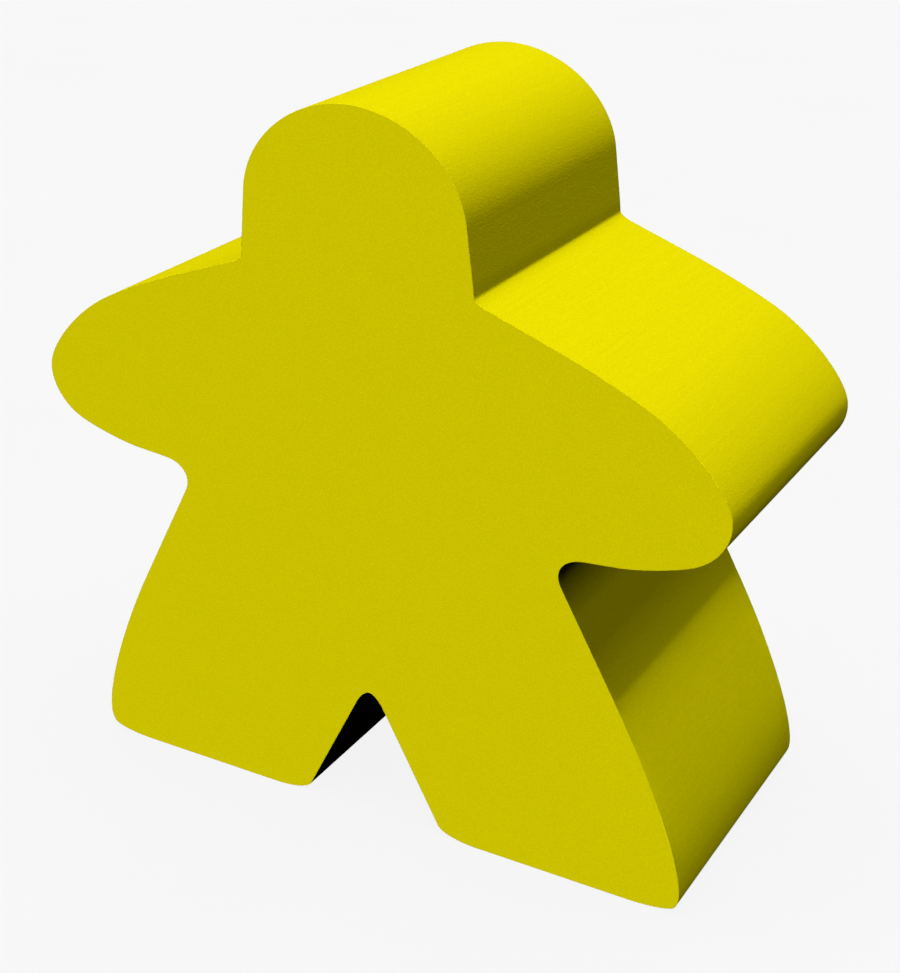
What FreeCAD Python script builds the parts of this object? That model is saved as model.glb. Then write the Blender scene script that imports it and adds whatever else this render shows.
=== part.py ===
import FreeCAD, Part
import os

# Wooden meeple: a blank sliced from a shaped strip of beech, then coated all over
# with yellow paint. Millimetres. The origin is on the table, under the middle of the
# figure. +Z is up and +Y goes through the thickness. Left and right are alike.

HEIGHT = 16.0       # sole to top of head
THICKNESS = 6.4     # front face to back face
COAT = 0.05         # thickness of the paint on every face
FULLNESS = 0.55     # reach of a corner curve's handles towards the corner

# Right half of the outline, as the sharp polygon it would be without its rounding,
# from the top of the head to the crotch. A curve rounds each corner off: it leaves the
# side before the corner and meets the side after it, tangent to both.
# Columns: corner, x, z, length cut from the side before it, and from the side after.
# JOINS: the curve begins where the curve before it ends.
JOINS = None
CORNERS = (
    ("head", 2.325, HEIGHT, 2.325, 1.99),
    ("nape", 2.67, 12.85, 0.05, 0.05),
    ("neck", 2.693, 12.54, 0.09, 0.29),
    ("shoulder", 5.675, 11.48, 1.31, 0.87),
    ("upper arm", 7.74, 10.325, JOINS, 0.98),
    ("hand", 8.365, 8.52, JOINS, 1.105),
    ("underarm", 6.575, 7.77, JOINS, 0.805),
    ("armpit", 4.265, 7.575, 0.83, 0.71),
    ("leg", 7.735, 1.155, 3.83, 0.94),
    ("toe", 7.24, 0.0, 0.225, 1.04),
    ("heel", 1.805, 0.0, 0.795, 0.295),
    ("crotch", 0.17, 3.155, 0.33, 0.17),
)


def unit(vector):
    return vector * (1 / vector.Length)


def inward(side):
    """Unit normal of a side of the outline, towards the wood."""
    return unit(FreeCAD.Vector(side.z, 0, -side.x))


def rounded(start, corner, end):
    curve = Part.BezierCurve()
    first_handle = start + (corner - start) * FULLNESS
    last_handle = end + (corner - end) * FULLNESS
    curve.setPoles([start, first_handle, last_handle, end])
    return curve.toShape()


def half_outline(inset):
    """Edges of the right half, moved inwards by inset, from top to crotch."""
    corners = [FreeCAD.Vector(x, 0, z) for _, x, z, _, _ in CORNERS]
    top = FreeCAD.Vector(0, 0, corners[0].z)
    bottom = FreeCAD.Vector(0, 0, corners[-1].z)
    path = [top] + corners + [bottom]
    edges = []
    here = top + inward(corners[0] - top) * inset
    for i, (_, _, _, cut_before, cut_after) in enumerate(CORNERS, start=1):
        side_in = path[i] - path[i - 1]
        side_out = path[i + 1] - path[i]
        n_in = inward(side_in)
        n_out = inward(side_out)
        corner = path[i] + (n_in + n_out) * (inset / (1 + n_in.dot(n_out)))
        end = path[i] + unit(side_out) * cut_after + n_out * inset
        start = here
        if cut_before is not JOINS:
            start = path[i] - unit(side_in) * cut_before + n_in * inset
        if (start - here).Length > 1e-6:
            edges.append(Part.makeLine(here, start))
        edges.append(rounded(start, corner, end))
        here = end
    return edges


def slab(inset):
    """The whole figure, with every face moved inwards by inset."""
    right = half_outline(inset)
    left = [edge.mirror(FreeCAD.Vector(), FreeCAD.Vector(1, 0, 0)) for edge in right]
    face = Part.Face(Part.Wire(Part.__sortEdges__(right + left)))
    depth = THICKNESS - 2 * inset
    face.translate(FreeCAD.Vector(0, -depth / 2, 0))
    return face.extrude(FreeCAD.Vector(0, depth, 0))


def build():
    blank = slab(COAT)
    painted = slab(0)
    return {"wood_body": blank, "paint_coat": painted.cut(blank)}


os.makedirs("parts", exist_ok=True)
for node, shape in build().items():
    shape.exportStep("parts/" + node + ".step")
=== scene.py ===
import math

import bpy
import numpy as np
from mathutils import Matrix, Vector, noise
from mathutils.geometry import delaunay_2d_cdt


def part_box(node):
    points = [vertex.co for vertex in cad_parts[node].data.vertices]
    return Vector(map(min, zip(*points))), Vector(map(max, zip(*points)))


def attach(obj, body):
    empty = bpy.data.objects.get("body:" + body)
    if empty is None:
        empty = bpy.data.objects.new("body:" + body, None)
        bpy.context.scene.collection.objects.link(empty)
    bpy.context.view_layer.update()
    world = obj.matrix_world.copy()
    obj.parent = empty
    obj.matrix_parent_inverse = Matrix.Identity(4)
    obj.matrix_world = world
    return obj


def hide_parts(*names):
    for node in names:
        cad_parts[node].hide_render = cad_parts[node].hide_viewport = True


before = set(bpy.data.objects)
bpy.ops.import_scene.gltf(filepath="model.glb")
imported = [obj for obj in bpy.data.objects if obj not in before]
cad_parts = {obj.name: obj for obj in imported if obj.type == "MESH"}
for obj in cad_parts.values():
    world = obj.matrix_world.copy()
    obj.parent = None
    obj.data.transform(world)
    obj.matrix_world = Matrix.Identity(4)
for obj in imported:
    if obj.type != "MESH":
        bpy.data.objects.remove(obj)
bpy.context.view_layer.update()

# Lengths are in millimetres until a mesh or a shader needs metres.
MM = 0.001
LOW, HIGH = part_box("paint_coat")
HEIGHT = (HIGH[2] - LOW[2]) / MM
DEPTH = (HIGH[1] - LOW[1]) / MM

# ---------------------------------------------------------------- outline
# Right half of the outline, as in the CAD: corner x and z, then the length cut from the
# side before the corner and from the side after it. JOINS: starts where the last ended.
FULLNESS = 0.55
JOINS = None
CORNERS = (
    (2.325, HEIGHT, 2.325, 1.99),   # head
    (2.67, 12.85, 0.05, 0.05),      # nape
    (2.693, 12.54, 0.09, 0.29),     # neck
    (5.675, 11.48, 1.31, 0.87),     # shoulder
    (7.74, 10.325, JOINS, 0.98),    # upper arm
    (8.365, 8.52, JOINS, 1.105),    # hand
    (6.575, 7.77, JOINS, 0.805),    # underarm
    (4.265, 7.575, 0.83, 0.71),     # armpit
    (7.735, 1.155, 3.83, 0.94),     # leg
    (7.24, 0.0, 0.225, 1.04),       # toe
    (1.805, 0.0, 0.795, 0.295),     # heel
    (0.17, 3.155, 0.33, 0.17),      # crotch
)
CURVE_STEPS = 160
FINEST, COARSEST = 0.02, 0.075      # spacing of outline points
TURN = 0.11                         # turn between outline points on a bend, radians
EVEN_STEPS = 6000                   # even steps along the loop where its bend is measured
BEND_REACH = 4                      # even steps each way that a bend is measured over
EASE = 20                           # even steps each way that a change of spacing takes


def half_outline():
    """Dense points of the right half, from the top of the head to the crotch."""
    top = np.array((0.0, HEIGHT))
    bottom = np.array((0.0, CORNERS[-1][1]))
    path = [top] + [np.array(corner[:2]) for corner in CORNERS] + [bottom]
    here = top
    points = [here]
    for i, (_, _, before, after) in enumerate(CORNERS, start=1):
        back = path[i - 1] - path[i]
        ahead = path[i + 1] - path[i]
        start = here
        if before is not JOINS:
            start = path[i] + back / np.linalg.norm(back) * before
        end = path[i] + ahead / np.linalg.norm(ahead) * after
        run = np.linalg.norm(start - here)
        if run > 1e-6:
            steps = max(2, int(run / FINEST))
            points += [here + (start - here) * k / steps for k in range(1, steps + 1)]
        pull_a = start + (path[i] - start) * FULLNESS
        pull_b = end + (path[i] - end) * FULLNESS
        for t in np.arange(1, CURVE_STEPS + 1) / CURVE_STEPS:
            s = 1 - t
            middle = 3 * s * s * t * pull_a + 3 * s * t * t * pull_b
            points.append(s**3 * start + middle + t**3 * end)
        here = end
    return np.array(points)


def whole_outline():
    """Closed loop, clockwise from the top of the head and closer set on bends: points,
    and how far along the loop each one is."""
    right = half_outline()
    loop = np.vstack([right, right[-2:0:-1] * (-1, 1), right[:1]])
    along = np.append(0, np.cumsum(np.linalg.norm(np.diff(loop, axis=0), axis=1)))
    even = np.linspace(0, along[-1], EVEN_STEPS + 1)
    gap = even[1]
    fine = at_length(loop, along, even[:-1])
    ahead = np.roll(fine, -BEND_REACH, axis=0) - fine
    behind = fine - np.roll(fine, BEND_REACH, axis=0)
    cross = ahead[:, 0] * behind[:, 1] - ahead[:, 1] * behind[:, 0]
    bend = np.abs(np.arctan2(cross, (ahead * behind).sum(axis=1))) / (BEND_REACH * gap)
    density = 1 / np.clip(TURN / np.maximum(bend, 1e-6), FINEST, COARSEST)
    blur = np.hanning(2 * EASE + 1)
    padded = np.concatenate([density[-EASE:], density, density[:EASE]])
    density = np.convolve(padded, blur / blur.sum(), "valid")
    count = np.append(0, np.cumsum(density * gap))
    total = 2 * round(count[-1] / 2)
    wanted = np.interp(np.arange(total) * count[-1] / total, count, even)
    return at_length(loop, along, wanted), wanted


def at_length(loop, along, wanted):
    """Points of the loop at the wanted distances along it."""
    return np.stack([np.interp(wanted, along, loop[:, k]) for k in (0, 1)], axis=1)


OUTLINE, ALONG = whole_outline()
COUNT = len(OUTLINE)
tangent = np.roll(OUTLINE, -1, axis=0) - np.roll(OUTLINE, 1, axis=0)
tangent /= np.linalg.norm(tangent, axis=1)[:, None]
OUTWARD = np.stack([-tangent[:, 1], tangent[:, 0]], axis=1)

# ---------------------------------------------------------------- painted skin
ARRIS = 0.006           # radius of the crisp edge round both flat faces
ARRIS_STEPS = 2
RIM = 0.045             # width of the band of quads inside each edge
WALL_STEPS = 36         # rows of quads from front to back
FACE_GRID = 0.115       # spacing of points on the flat faces
WAVE = 0.002            # deepest hollow left by the cutter on the walls
WAVES_ROUND = 9.1       # how closely those hollows follow each other round the outline
WAVES_DEEP = 0.156      # how fast they change from front to back, per millimetre
SAG = 0.0015            # deepest hollow on the flat faces
SAG_CLOSE = 0.7         # how closely those hollows lie, per millimetre
SAG_APART = 3           # keeps the hollows of the back face unlike those of the front
WEAR_AND_SHADE_REACH = 0.045            # how far the edge wear and the painted edge shade reach in from an edge
# the rings of the edge round carry the edge mark: worn paint, and painted shade that darkens the
# edges
EDGE_WORN_AND_SHADED, PLAIN = 1.0, 0.0
INSIDE_ONLY = 1         # the filling of a flat face keeps only triangles inside its rim
SAME_POINT = 1e-7       # and joins points nearer than this


def section():
    """Inset, y and edge mark (worn paint and painted shade) of each ring of points, from the
    front face to the back.
    """
    half = DEPTH / 2
    front = [(ARRIS + RIM, -half, PLAIN)]
    for k in range(ARRIS_STEPS + 1):
        a = math.pi / 2 * k / ARRIS_STEPS
        inset = ARRIS * (1 - math.sin(a))
        front.append((inset, -half + ARRIS * (1 - math.cos(a)), EDGE_WORN_AND_SHADED))
    start = -half + ARRIS + WEAR_AND_SHADE_REACH
    front.append((0.0, start, PLAIN))
    wall = [(0.0, start * (1 - 2 * k / WALL_STEPS), PLAIN) for k in range(1, WALL_STEPS)]
    back = [(inset, -y, worn_and_shaded) for inset, y, worn_and_shaded in front[::-1]]
    return front + wall + back


def wave(along, y):
    """Hollow in a wall: long ripples that run from front to back."""
    turn = along / ALONG[-1] * 2 * math.pi
    ring = Vector((math.cos(turn) * WAVES_ROUND, math.sin(turn) * WAVES_ROUND, y * WAVES_DEEP))
    return WAVE * (0.5 + 0.5 * noise.noise(ring))


def sag(x, z, side):
    """Hollow in a flat face: side is -1 for the front and 1 for the back."""
    place = Vector((x * SAG_CLOSE, side * SAG_APART, z * SAG_CLOSE))
    return SAG * (0.5 + 0.5 * noise.noise(place))


def inside(points, loop):
    """True for each point inside the closed loop."""
    after = np.roll(loop, -1, axis=0)
    result = np.zeros(len(points), bool)
    for i, (px, pz) in enumerate(points):
        crosses = (loop[:, 1] > pz) != (after[:, 1] > pz)
        a, b = loop[crosses], after[crosses]
        at = (b[:, 0] - a[:, 0]) * (pz - a[:, 1]) / (b[:, 1] - a[:, 1]) + a[:, 0]
        result[i] = np.count_nonzero(px < at) % 2
    return result


def face_grid(rim):
    """Staggered points that fill a flat face inside its rim."""
    row_gap = FACE_GRID * math.sqrt(3) / 2
    reach = np.abs(rim[:, 0]).max()
    points = []
    for row in range(int(HEIGHT / row_gap) + 1):
        x = np.arange(-reach + FACE_GRID / 2 * (row % 2), reach, FACE_GRID)
        points += [(v, row * row_gap) for v in x]
    points = np.array(points)
    return points[inside(points, rim)]


def skin_mesh(name):
    """Closed mesh: rings of quads from front to back, and a filled flat face at each end."""
    rings = section()
    verts, faces, edge_wear_and_shade = [], [], []
    for inset, y, worn_and_shaded in rings:
        for p, n, along in zip(OUTLINE, OUTWARD, ALONG):
            depth = inset + wave(along, y)
            verts.append((p[0] - n[0] * depth, y, p[1] - n[1] * depth))
            edge_wear_and_shade.append(worn_and_shaded)
    for r in range(len(rings) - 1):
        for i in range(COUNT):
            j = (i + 1) % COUNT
            a, b = r * COUNT, (r + 1) * COUNT
            faces.append((a + i, a + j, b + j, b + i))
    rim = OUTLINE - OUTWARD * (ARRIS + RIM + WAVE)
    grid = face_grid(OUTLINE - OUTWARD * (ARRIS + RIM * 2))
    flat = [Vector(p) for p in (*rim, *grid)]
    loop = [(i, (i + 1) % COUNT) for i in range(COUNT)]
    filled = delaunay_2d_cdt(flat, loop, [], INSIDE_ONLY, SAME_POINT)
    points, triangles, source = filled[0], filled[2], filled[3]
    for first, side in ((0, -1), ((len(rings) - 1) * COUNT, 1)):
        index = {}
        for k, p in enumerate(points):
            origin = source[k][0]
            if origin < COUNT:
                index[k] = first + origin
            else:
                index[k] = len(verts)
                y = side * DEPTH / 2
                verts.append((p[0], y - side * sag(p[0], p[1], side), p[1]))
                edge_wear_and_shade.append(PLAIN)
        faces += [tuple(index[k] for k in t)[::-side] for t in triangles]
    mesh = bpy.data.meshes.new(name)
    mesh.from_pydata([tuple(c * MM for c in v) for v in verts], [], faces)
    mesh.update(calc_edges=True)
    # per-point edge mark: 1 on the edge round, where the colour is darkened as worn paint and as
    # painted shade
    mesh.attributes.new("edge_wear_and_shade", "FLOAT", "POINT").data.foreach_set("value", edge_wear_and_shade)
    mesh.polygons.foreach_set("use_smooth", [True] * len(mesh.polygons))
    # the shading breaks where the flat faces and the walls meet the tiny round between them
    ends = np.empty(2 * len(mesh.edges), np.int32)
    mesh.edges.foreach_get("vertices", ends)
    row = ends.reshape(-1, 2) // COUNT
    last = len(rings) - 1
    breaks = (1, 1 + ARRIS_STEPS, last - 1 - ARRIS_STEPS, last - 1)
    sharp = (row[:, 0] == row[:, 1]) & np.isin(row[:, 0], breaks)
    mesh.attributes.new("sharp_edge", "BOOLEAN", "EDGE").data.foreach_set("value", sharp)
    return mesh


# ---------------------------------------------------------------- materials
NOISE_LOW, NOISE_HIGH = 0.25, 0.75      # nearly all of a noise lies between these
MIX_COLOURS, MIX_RESULT = (6, 7), 2     # places of a Mix node's colour sockets


class Shader:
    """A Principled material and short calls that add nodes to it."""

    def __init__(self, name):
        self.material = bpy.data.materials.new(name)
        self.material.use_nodes = True
        self.tree = self.material.node_tree
        self.main = self.tree.nodes["Principled BSDF"]
        self.place = self.tree.nodes.new("ShaderNodeTexCoord").outputs["Object"]

    def put(self, socket, value):
        if isinstance(value, bpy.types.NodeSocket):
            self.tree.links.new(value, socket)
        else:
            socket.default_value = value

    def noise(self, across, along, detail=2.0, rough=0.5):
        """Noise whose blobs are `across` mm wide in x and z and `along` mm long in y."""
        squeeze = self.tree.nodes.new("ShaderNodeVectorMath")
        squeeze.operation = "MULTIPLY"
        self.put(squeeze.inputs[0], self.place)
        squeeze.inputs[1].default_value = (1 / (across * MM), 1 / (along * MM), 1 / (across * MM))
        texture = self.tree.nodes.new("ShaderNodeTexNoise")
        self.put(texture.inputs["Vector"], squeeze.outputs[0])
        texture.inputs["Scale"].default_value = 1.0
        texture.inputs["Detail"].default_value = detail
        texture.inputs["Roughness"].default_value = rough
        return texture.outputs["Fac"]

    def math(self, operation, a, b):
        """One Math node on a and b, each a number or a socket."""
        node = self.tree.nodes.new("ShaderNodeMath")
        node.operation = operation
        self.put(node.inputs[0], a)
        self.put(node.inputs[1], b)
        return node.outputs[0]

    def spread(self, value, low, high):
        """The usual range of a noise, mapped to low..high."""
        node = self.tree.nodes.new("ShaderNodeMapRange")
        self.put(node.inputs["Value"], value)
        node.inputs["From Min"].default_value = NOISE_LOW
        node.inputs["From Max"].default_value = NOISE_HIGH
        node.inputs["To Min"].default_value = low
        node.inputs["To Max"].default_value = high
        return node.outputs[0]

    def mix(self, factor, a, b):
        """Colour between a and b, each a colour or a socket."""
        node = self.tree.nodes.new("ShaderNodeMix")
        node.data_type = "RGBA"
        self.put(node.inputs["Factor"], factor)
        for socket, colour in zip(MIX_COLOURS, (a, b)):
            is_socket = isinstance(colour, bpy.types.NodeSocket)
            self.put(node.inputs[socket], colour if is_socket else (*colour, 1))
        return node.outputs[MIX_RESULT]

    def bump(self, height, depth):
        """Relief of `depth` mm for a height from 0 to 1."""
        node = self.tree.nodes.new("ShaderNodeBump")
        node.inputs["Strength"].default_value = 1.0
        node.inputs["Distance"].default_value = depth * MM
        self.put(node.inputs["Height"], height)
        self.put(self.main.inputs["Normal"], node.outputs["Normal"])


YELLOW = (0.85, 0.757, 0.0004)
WORN_AND_SHADED_EDGE = (0.60, 0.52, 0.005)            # thinner worn paint along the edges, darkened further as painted shade that damps the highlight on the edge round
PAINT_GLINT = (1.0, 0.88, 0.02, 1)
PAINT_RELIEF = 0.009


def paint_material():
    s = Shader("yellow_paint")
    speckle = s.noise(0.036, 0.036, 1.0)        # pigment and dust in the matt film
    fibres = s.noise(0.055, 7.0, 1.0)           # wood fibres that show through
    bands = s.noise(0.35, 9.0, 2.0)             # broader streaks of the same grain
    cloud = s.noise(1.6, 1.6, 1.0)              # how evenly the film dried
    shade = s.spread(speckle, 0.935, 1.065)
    shade = s.math("MULTIPLY", shade, s.spread(fibres, 0.985, 1.015))
    shade = s.math("MULTIPLY", shade, s.spread(bands, 0.993, 1.007))
    # along the edges the paint colour is darkened: partly wear, partly painted shade that damps
    # the highlight on the tiny edge round
    attribute = s.tree.nodes.new("ShaderNodeAttribute")
    attribute.attribute_name = "edge_wear_and_shade"
    fade = s.math("POWER", attribute.outputs["Fac"], 2.0)
    edge_wear_and_shade = s.math("MULTIPLY", fade, s.spread(s.noise(0.3, 0.3), 0.3, 1.0))
    scaled = s.tree.nodes.new("ShaderNodeVectorMath")
    scaled.operation = "SCALE"
    scaled.inputs[0].default_value = YELLOW
    s.put(scaled.inputs["Scale"], shade)
    colour = s.mix(s.math("MULTIPLY", edge_wear_and_shade, 0.3), scaled.outputs[0], WORN_AND_SHADED_EDGE)
    s.put(s.main.inputs["Base Color"], colour)
    rough = s.math("ADD", s.spread(speckle, 0.64, 0.76), s.spread(cloud, -0.03, 0.03))
    rough = s.math("SUBTRACT", rough, s.math("MULTIPLY", edge_wear_and_shade, 0.12))
    s.put(s.main.inputs["Roughness"], rough)
    s.main.inputs["Specular IOR Level"].default_value = 0.04
    s.main.inputs["Specular Tint"].default_value = PAINT_GLINT
    height = s.math("ADD", s.math("MULTIPLY", speckle, 0.8), s.math("MULTIPLY", fibres, 0.2))
    s.bump(height, PAINT_RELIEF)
    return s.material


PALE_WOOD, RING_WOOD, FIBRE_WOOD = (0.58, 0.38, 0.22), (0.68, 0.48, 0.30), (0.47, 0.29, 0.16)
WOOD_RELIEF = 0.006


def wood_material():
    s = Shader("beech")
    rings = s.tree.nodes.new("ShaderNodeTexWave")
    rings.wave_type = "RINGS"
    rings.rings_direction = "Y"
    s.put(rings.inputs["Vector"], s.place)
    rings.inputs["Scale"].default_value = 220   # growth rings about 1.4 mm apart
    rings.inputs["Distortion"].default_value = 1.5
    rings.inputs["Detail"].default_value = 2
    fibres = s.noise(0.07, 3.0, 3.0, 0.65)
    pores = s.noise(0.035, 1.2, 1.0)
    colour = s.mix(rings.outputs["Fac"], PALE_WOOD, RING_WOOD)
    colour = s.mix(s.spread(fibres, 0.0, 0.5), colour, FIBRE_WOOD)
    s.put(s.main.inputs["Base Color"], colour)
    s.put(s.main.inputs["Roughness"], s.spread(pores, 0.55, 0.8))
    s.main.inputs["Specular IOR Level"].default_value = 0.3
    s.bump(s.math("ADD", fibres, pores), WOOD_RELIEF)
    return s.material


def floor_material():
    s = Shader("pale_floor")
    shade = s.spread(s.noise(9.0, 9.0), 0.925, 0.935)
    joined = s.tree.nodes.new("ShaderNodeCombineXYZ")
    for k in range(3):
        s.put(joined.inputs[k], shade)
    s.put(s.main.inputs["Base Color"], joined.outputs[0])
    s.main.inputs["Roughness"].default_value = 0.9
    s.main.inputs["Specular IOR Level"].default_value = 0.0
    return s.material


def add(name, data):
    thing = bpy.data.objects.new(name, data)
    bpy.context.scene.collection.objects.link(thing)
    return thing


skin = add("painted_skin", skin_mesh("painted_skin"))
skin.data.materials.append(paint_material())
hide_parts("paint_coat")
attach(skin, "root")

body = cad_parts["wood_body"]
body.data.materials.clear()
body.data.materials.append(wood_material())

# ---------------------------------------------------------------- floor
FLOOR = 0.6             # half the floor's side, metres
FLOOR_CELLS = 8


def floor_mesh():
    line = np.linspace(-FLOOR, FLOOR, FLOOR_CELLS + 1)
    verts = [(x, y, LOW[2]) for y in line for x in line]
    row = len(line)
    corners = [j * row + i for j in range(FLOOR_CELLS) for i in range(FLOOR_CELLS)]
    faces = [(a, a + 1, a + row + 1, a + row) for a in corners]
    mesh = bpy.data.meshes.new("floor")
    mesh.from_pydata(verts, [], faces)
    return mesh


floor = add("floor", floor_mesh())
floor.data.materials.append(floor_material())
floor.visible_glossy = False

# ---------------------------------------------------------------- camera
CAMERA_AT = Vector((18.584, -30.878, 24.087)) * MM
AZIMUTH, ELEVATION, ROLL = (math.radians(a) for a in (28.07, 24.495, -0.29))
SENSOR, LENS = 36, 66.58
SHIFT = (-0.0788, -0.0391)
NEAR, FAR = 0.001, 10               # metres


def camera_matrix():
    flat = math.cos(ELEVATION)
    ahead = Vector((-math.sin(AZIMUTH) * flat, math.cos(AZIMUTH) * flat, -math.sin(ELEVATION)))
    level = Vector((math.cos(AZIMUTH), math.sin(AZIMUTH), 0))
    down = ahead.cross(level)
    right = level * math.cos(ROLL) + down * math.sin(ROLL)
    matrix = Matrix((right, right.cross(ahead), -ahead)).transposed().to_4x4()
    matrix.translation = CAMERA_AT
    return matrix


camera = add("camera", bpy.data.cameras.new("camera"))
camera.matrix_world = camera_matrix()
camera.data.sensor_fit = "AUTO"
camera.data.sensor_width = SENSOR
camera.data.lens = LENS
camera.data.shift_x, camera.data.shift_y = SHIFT
camera.data.clip_start = NEAR
camera.data.clip_end = FAR
bpy.context.scene.camera = camera

# ---------------------------------------------------------------- light
# A lamp's glow is how much light a white card that faces it sends back. The softboxes hang
# far off in the plane of the figure. They are wide across it and narrow from front to back,
# so the shadow of the arm ends cleanly at the front edge.
SOFTBOXES = (                   # name, direction towards it, glow, how wide it looks in degrees
    ("key_above", (-0.061, 0.0, 0.998), 0.843, 4),
    ("key_right", (0.545, 0.0, 0.839), 0.13, 20),
    ("fill_right", (0.891, 0.0, 0.454), 0.117, 18),
)
SOFTBOX_AWAY = 2.5              # metres
SOFTBOX_NARROW = 0.04           # metres, from front to back
SUNS = (                        # name, direction towards it, glow, width in degrees
    ("front", (0.0, -1.0, 0.012), 0.70, 1),
    ("fill_left", (-0.6, 0.8, 0.055), 0.14, 6),
    ("back", (0.0, 1.0, 0.012), 0.60, 1),
)
FLOOR_SUNS = (                  # name, glow, width in degrees, whether it casts a shadow
    ("floor_even", 0.952, 0, False),
    ("floor_soft", 0.055, 70, True),
)


def lamp(kind, name, toward, lit):
    """A lamp that shines from the direction `toward` and lights only the objects in `lit`."""
    thing = add(name, bpy.data.lights.new(name, kind))
    thing.rotation_mode = "QUATERNION"
    thing.rotation_quaternion = (-Vector(toward)).to_track_quat("-Z", "Y")
    thing.visible_camera = False
    group = bpy.data.collections.new(name)
    for receiver in lit:
        group.objects.link(receiver)
    thing.light_linking.receiver_collection = group
    return thing


def softbox(name, toward, glow, degrees):
    thing = lamp("AREA", name, toward, (skin, body))
    thing.location = Vector(toward).normalized() * SOFTBOX_AWAY
    thing.data.shape = "RECTANGLE"
    thing.data.size = SOFTBOX_NARROW
    thing.data.size_y = 2 * SOFTBOX_AWAY * math.tan(math.radians(degrees / 2))
    thing.data.energy = glow * math.pi**2 * SOFTBOX_AWAY**2


def sun(name, toward, glow, degrees, lit):
    thing = lamp("SUN", name, toward, lit)
    thing.data.energy = glow * math.pi
    thing.data.angle = math.radians(degrees)
    return thing


for name, toward, glow, degrees in SOFTBOXES:
    softbox(name, toward, glow, degrees)
for name, toward, glow, degrees in SUNS:
    # low suns would only skim a pale grazing gloss off the walls, so they have none
    sun(name, toward, glow, degrees, (skin, body)).visible_glossy = False
for name, glow, degrees, shadow in FLOOR_SUNS:
    sun(name, (0, 0, 1), glow, degrees, (floor,)).data.use_shadow = shadow

# on each side, a narrow strip lamp whose beam passes the hand and lights the leg below it
STRIP_ACROSS, STRIP_UP = 0.454, 0.891       # direction towards the lamp
STRIP_AT = (6.7, 2.9)                       # x and z where the middle of its beam lands
STRIP_AWAY = 25
STRIP_LONG, STRIP_WIDE = 14, 2.8            # along Y, and across the beam
STRIP_SPREAD = 5                            # degrees
STRIP_POWER = 0.000035                      # watts
for name, side in (("leg_strip_right", 1), ("leg_strip_left", -1)):
    toward = Vector((side * STRIP_ACROSS, 0.0, STRIP_UP))
    strip = lamp("AREA", name, toward, (skin, body))
    strip.location = (Vector((side * STRIP_AT[0], 0.0, STRIP_AT[1])) + toward * STRIP_AWAY) * MM
    strip.data.shape = "RECTANGLE"
    strip.data.size = STRIP_LONG * MM
    strip.data.size_y = STRIP_WIDE * MM
    strip.data.spread = math.radians(STRIP_SPREAD)
    strip.data.energy = STRIP_POWER

# the world only fills what lies past the floor; all light comes from the lamps
PALE = 0.93
world = bpy.data.worlds.new("world")
world.use_nodes = True
bpy.context.scene.world = world
background = world.node_tree.nodes["Background"]
background.inputs["Color"].default_value = (PALE, PALE, PALE, 1)
seen = world.node_tree.nodes.new("ShaderNodeLightPath").outputs["Is Camera Ray"]
world.node_tree.links.new(seen, background.inputs["Strength"])
# no light is thrown from one wall of the figure onto another
bpy.context.scene.cycles.diffuse_bounces = 0
bpy.context.scene.view_settings.view_transform = "Standard"

bpy.context.view_layer.update()
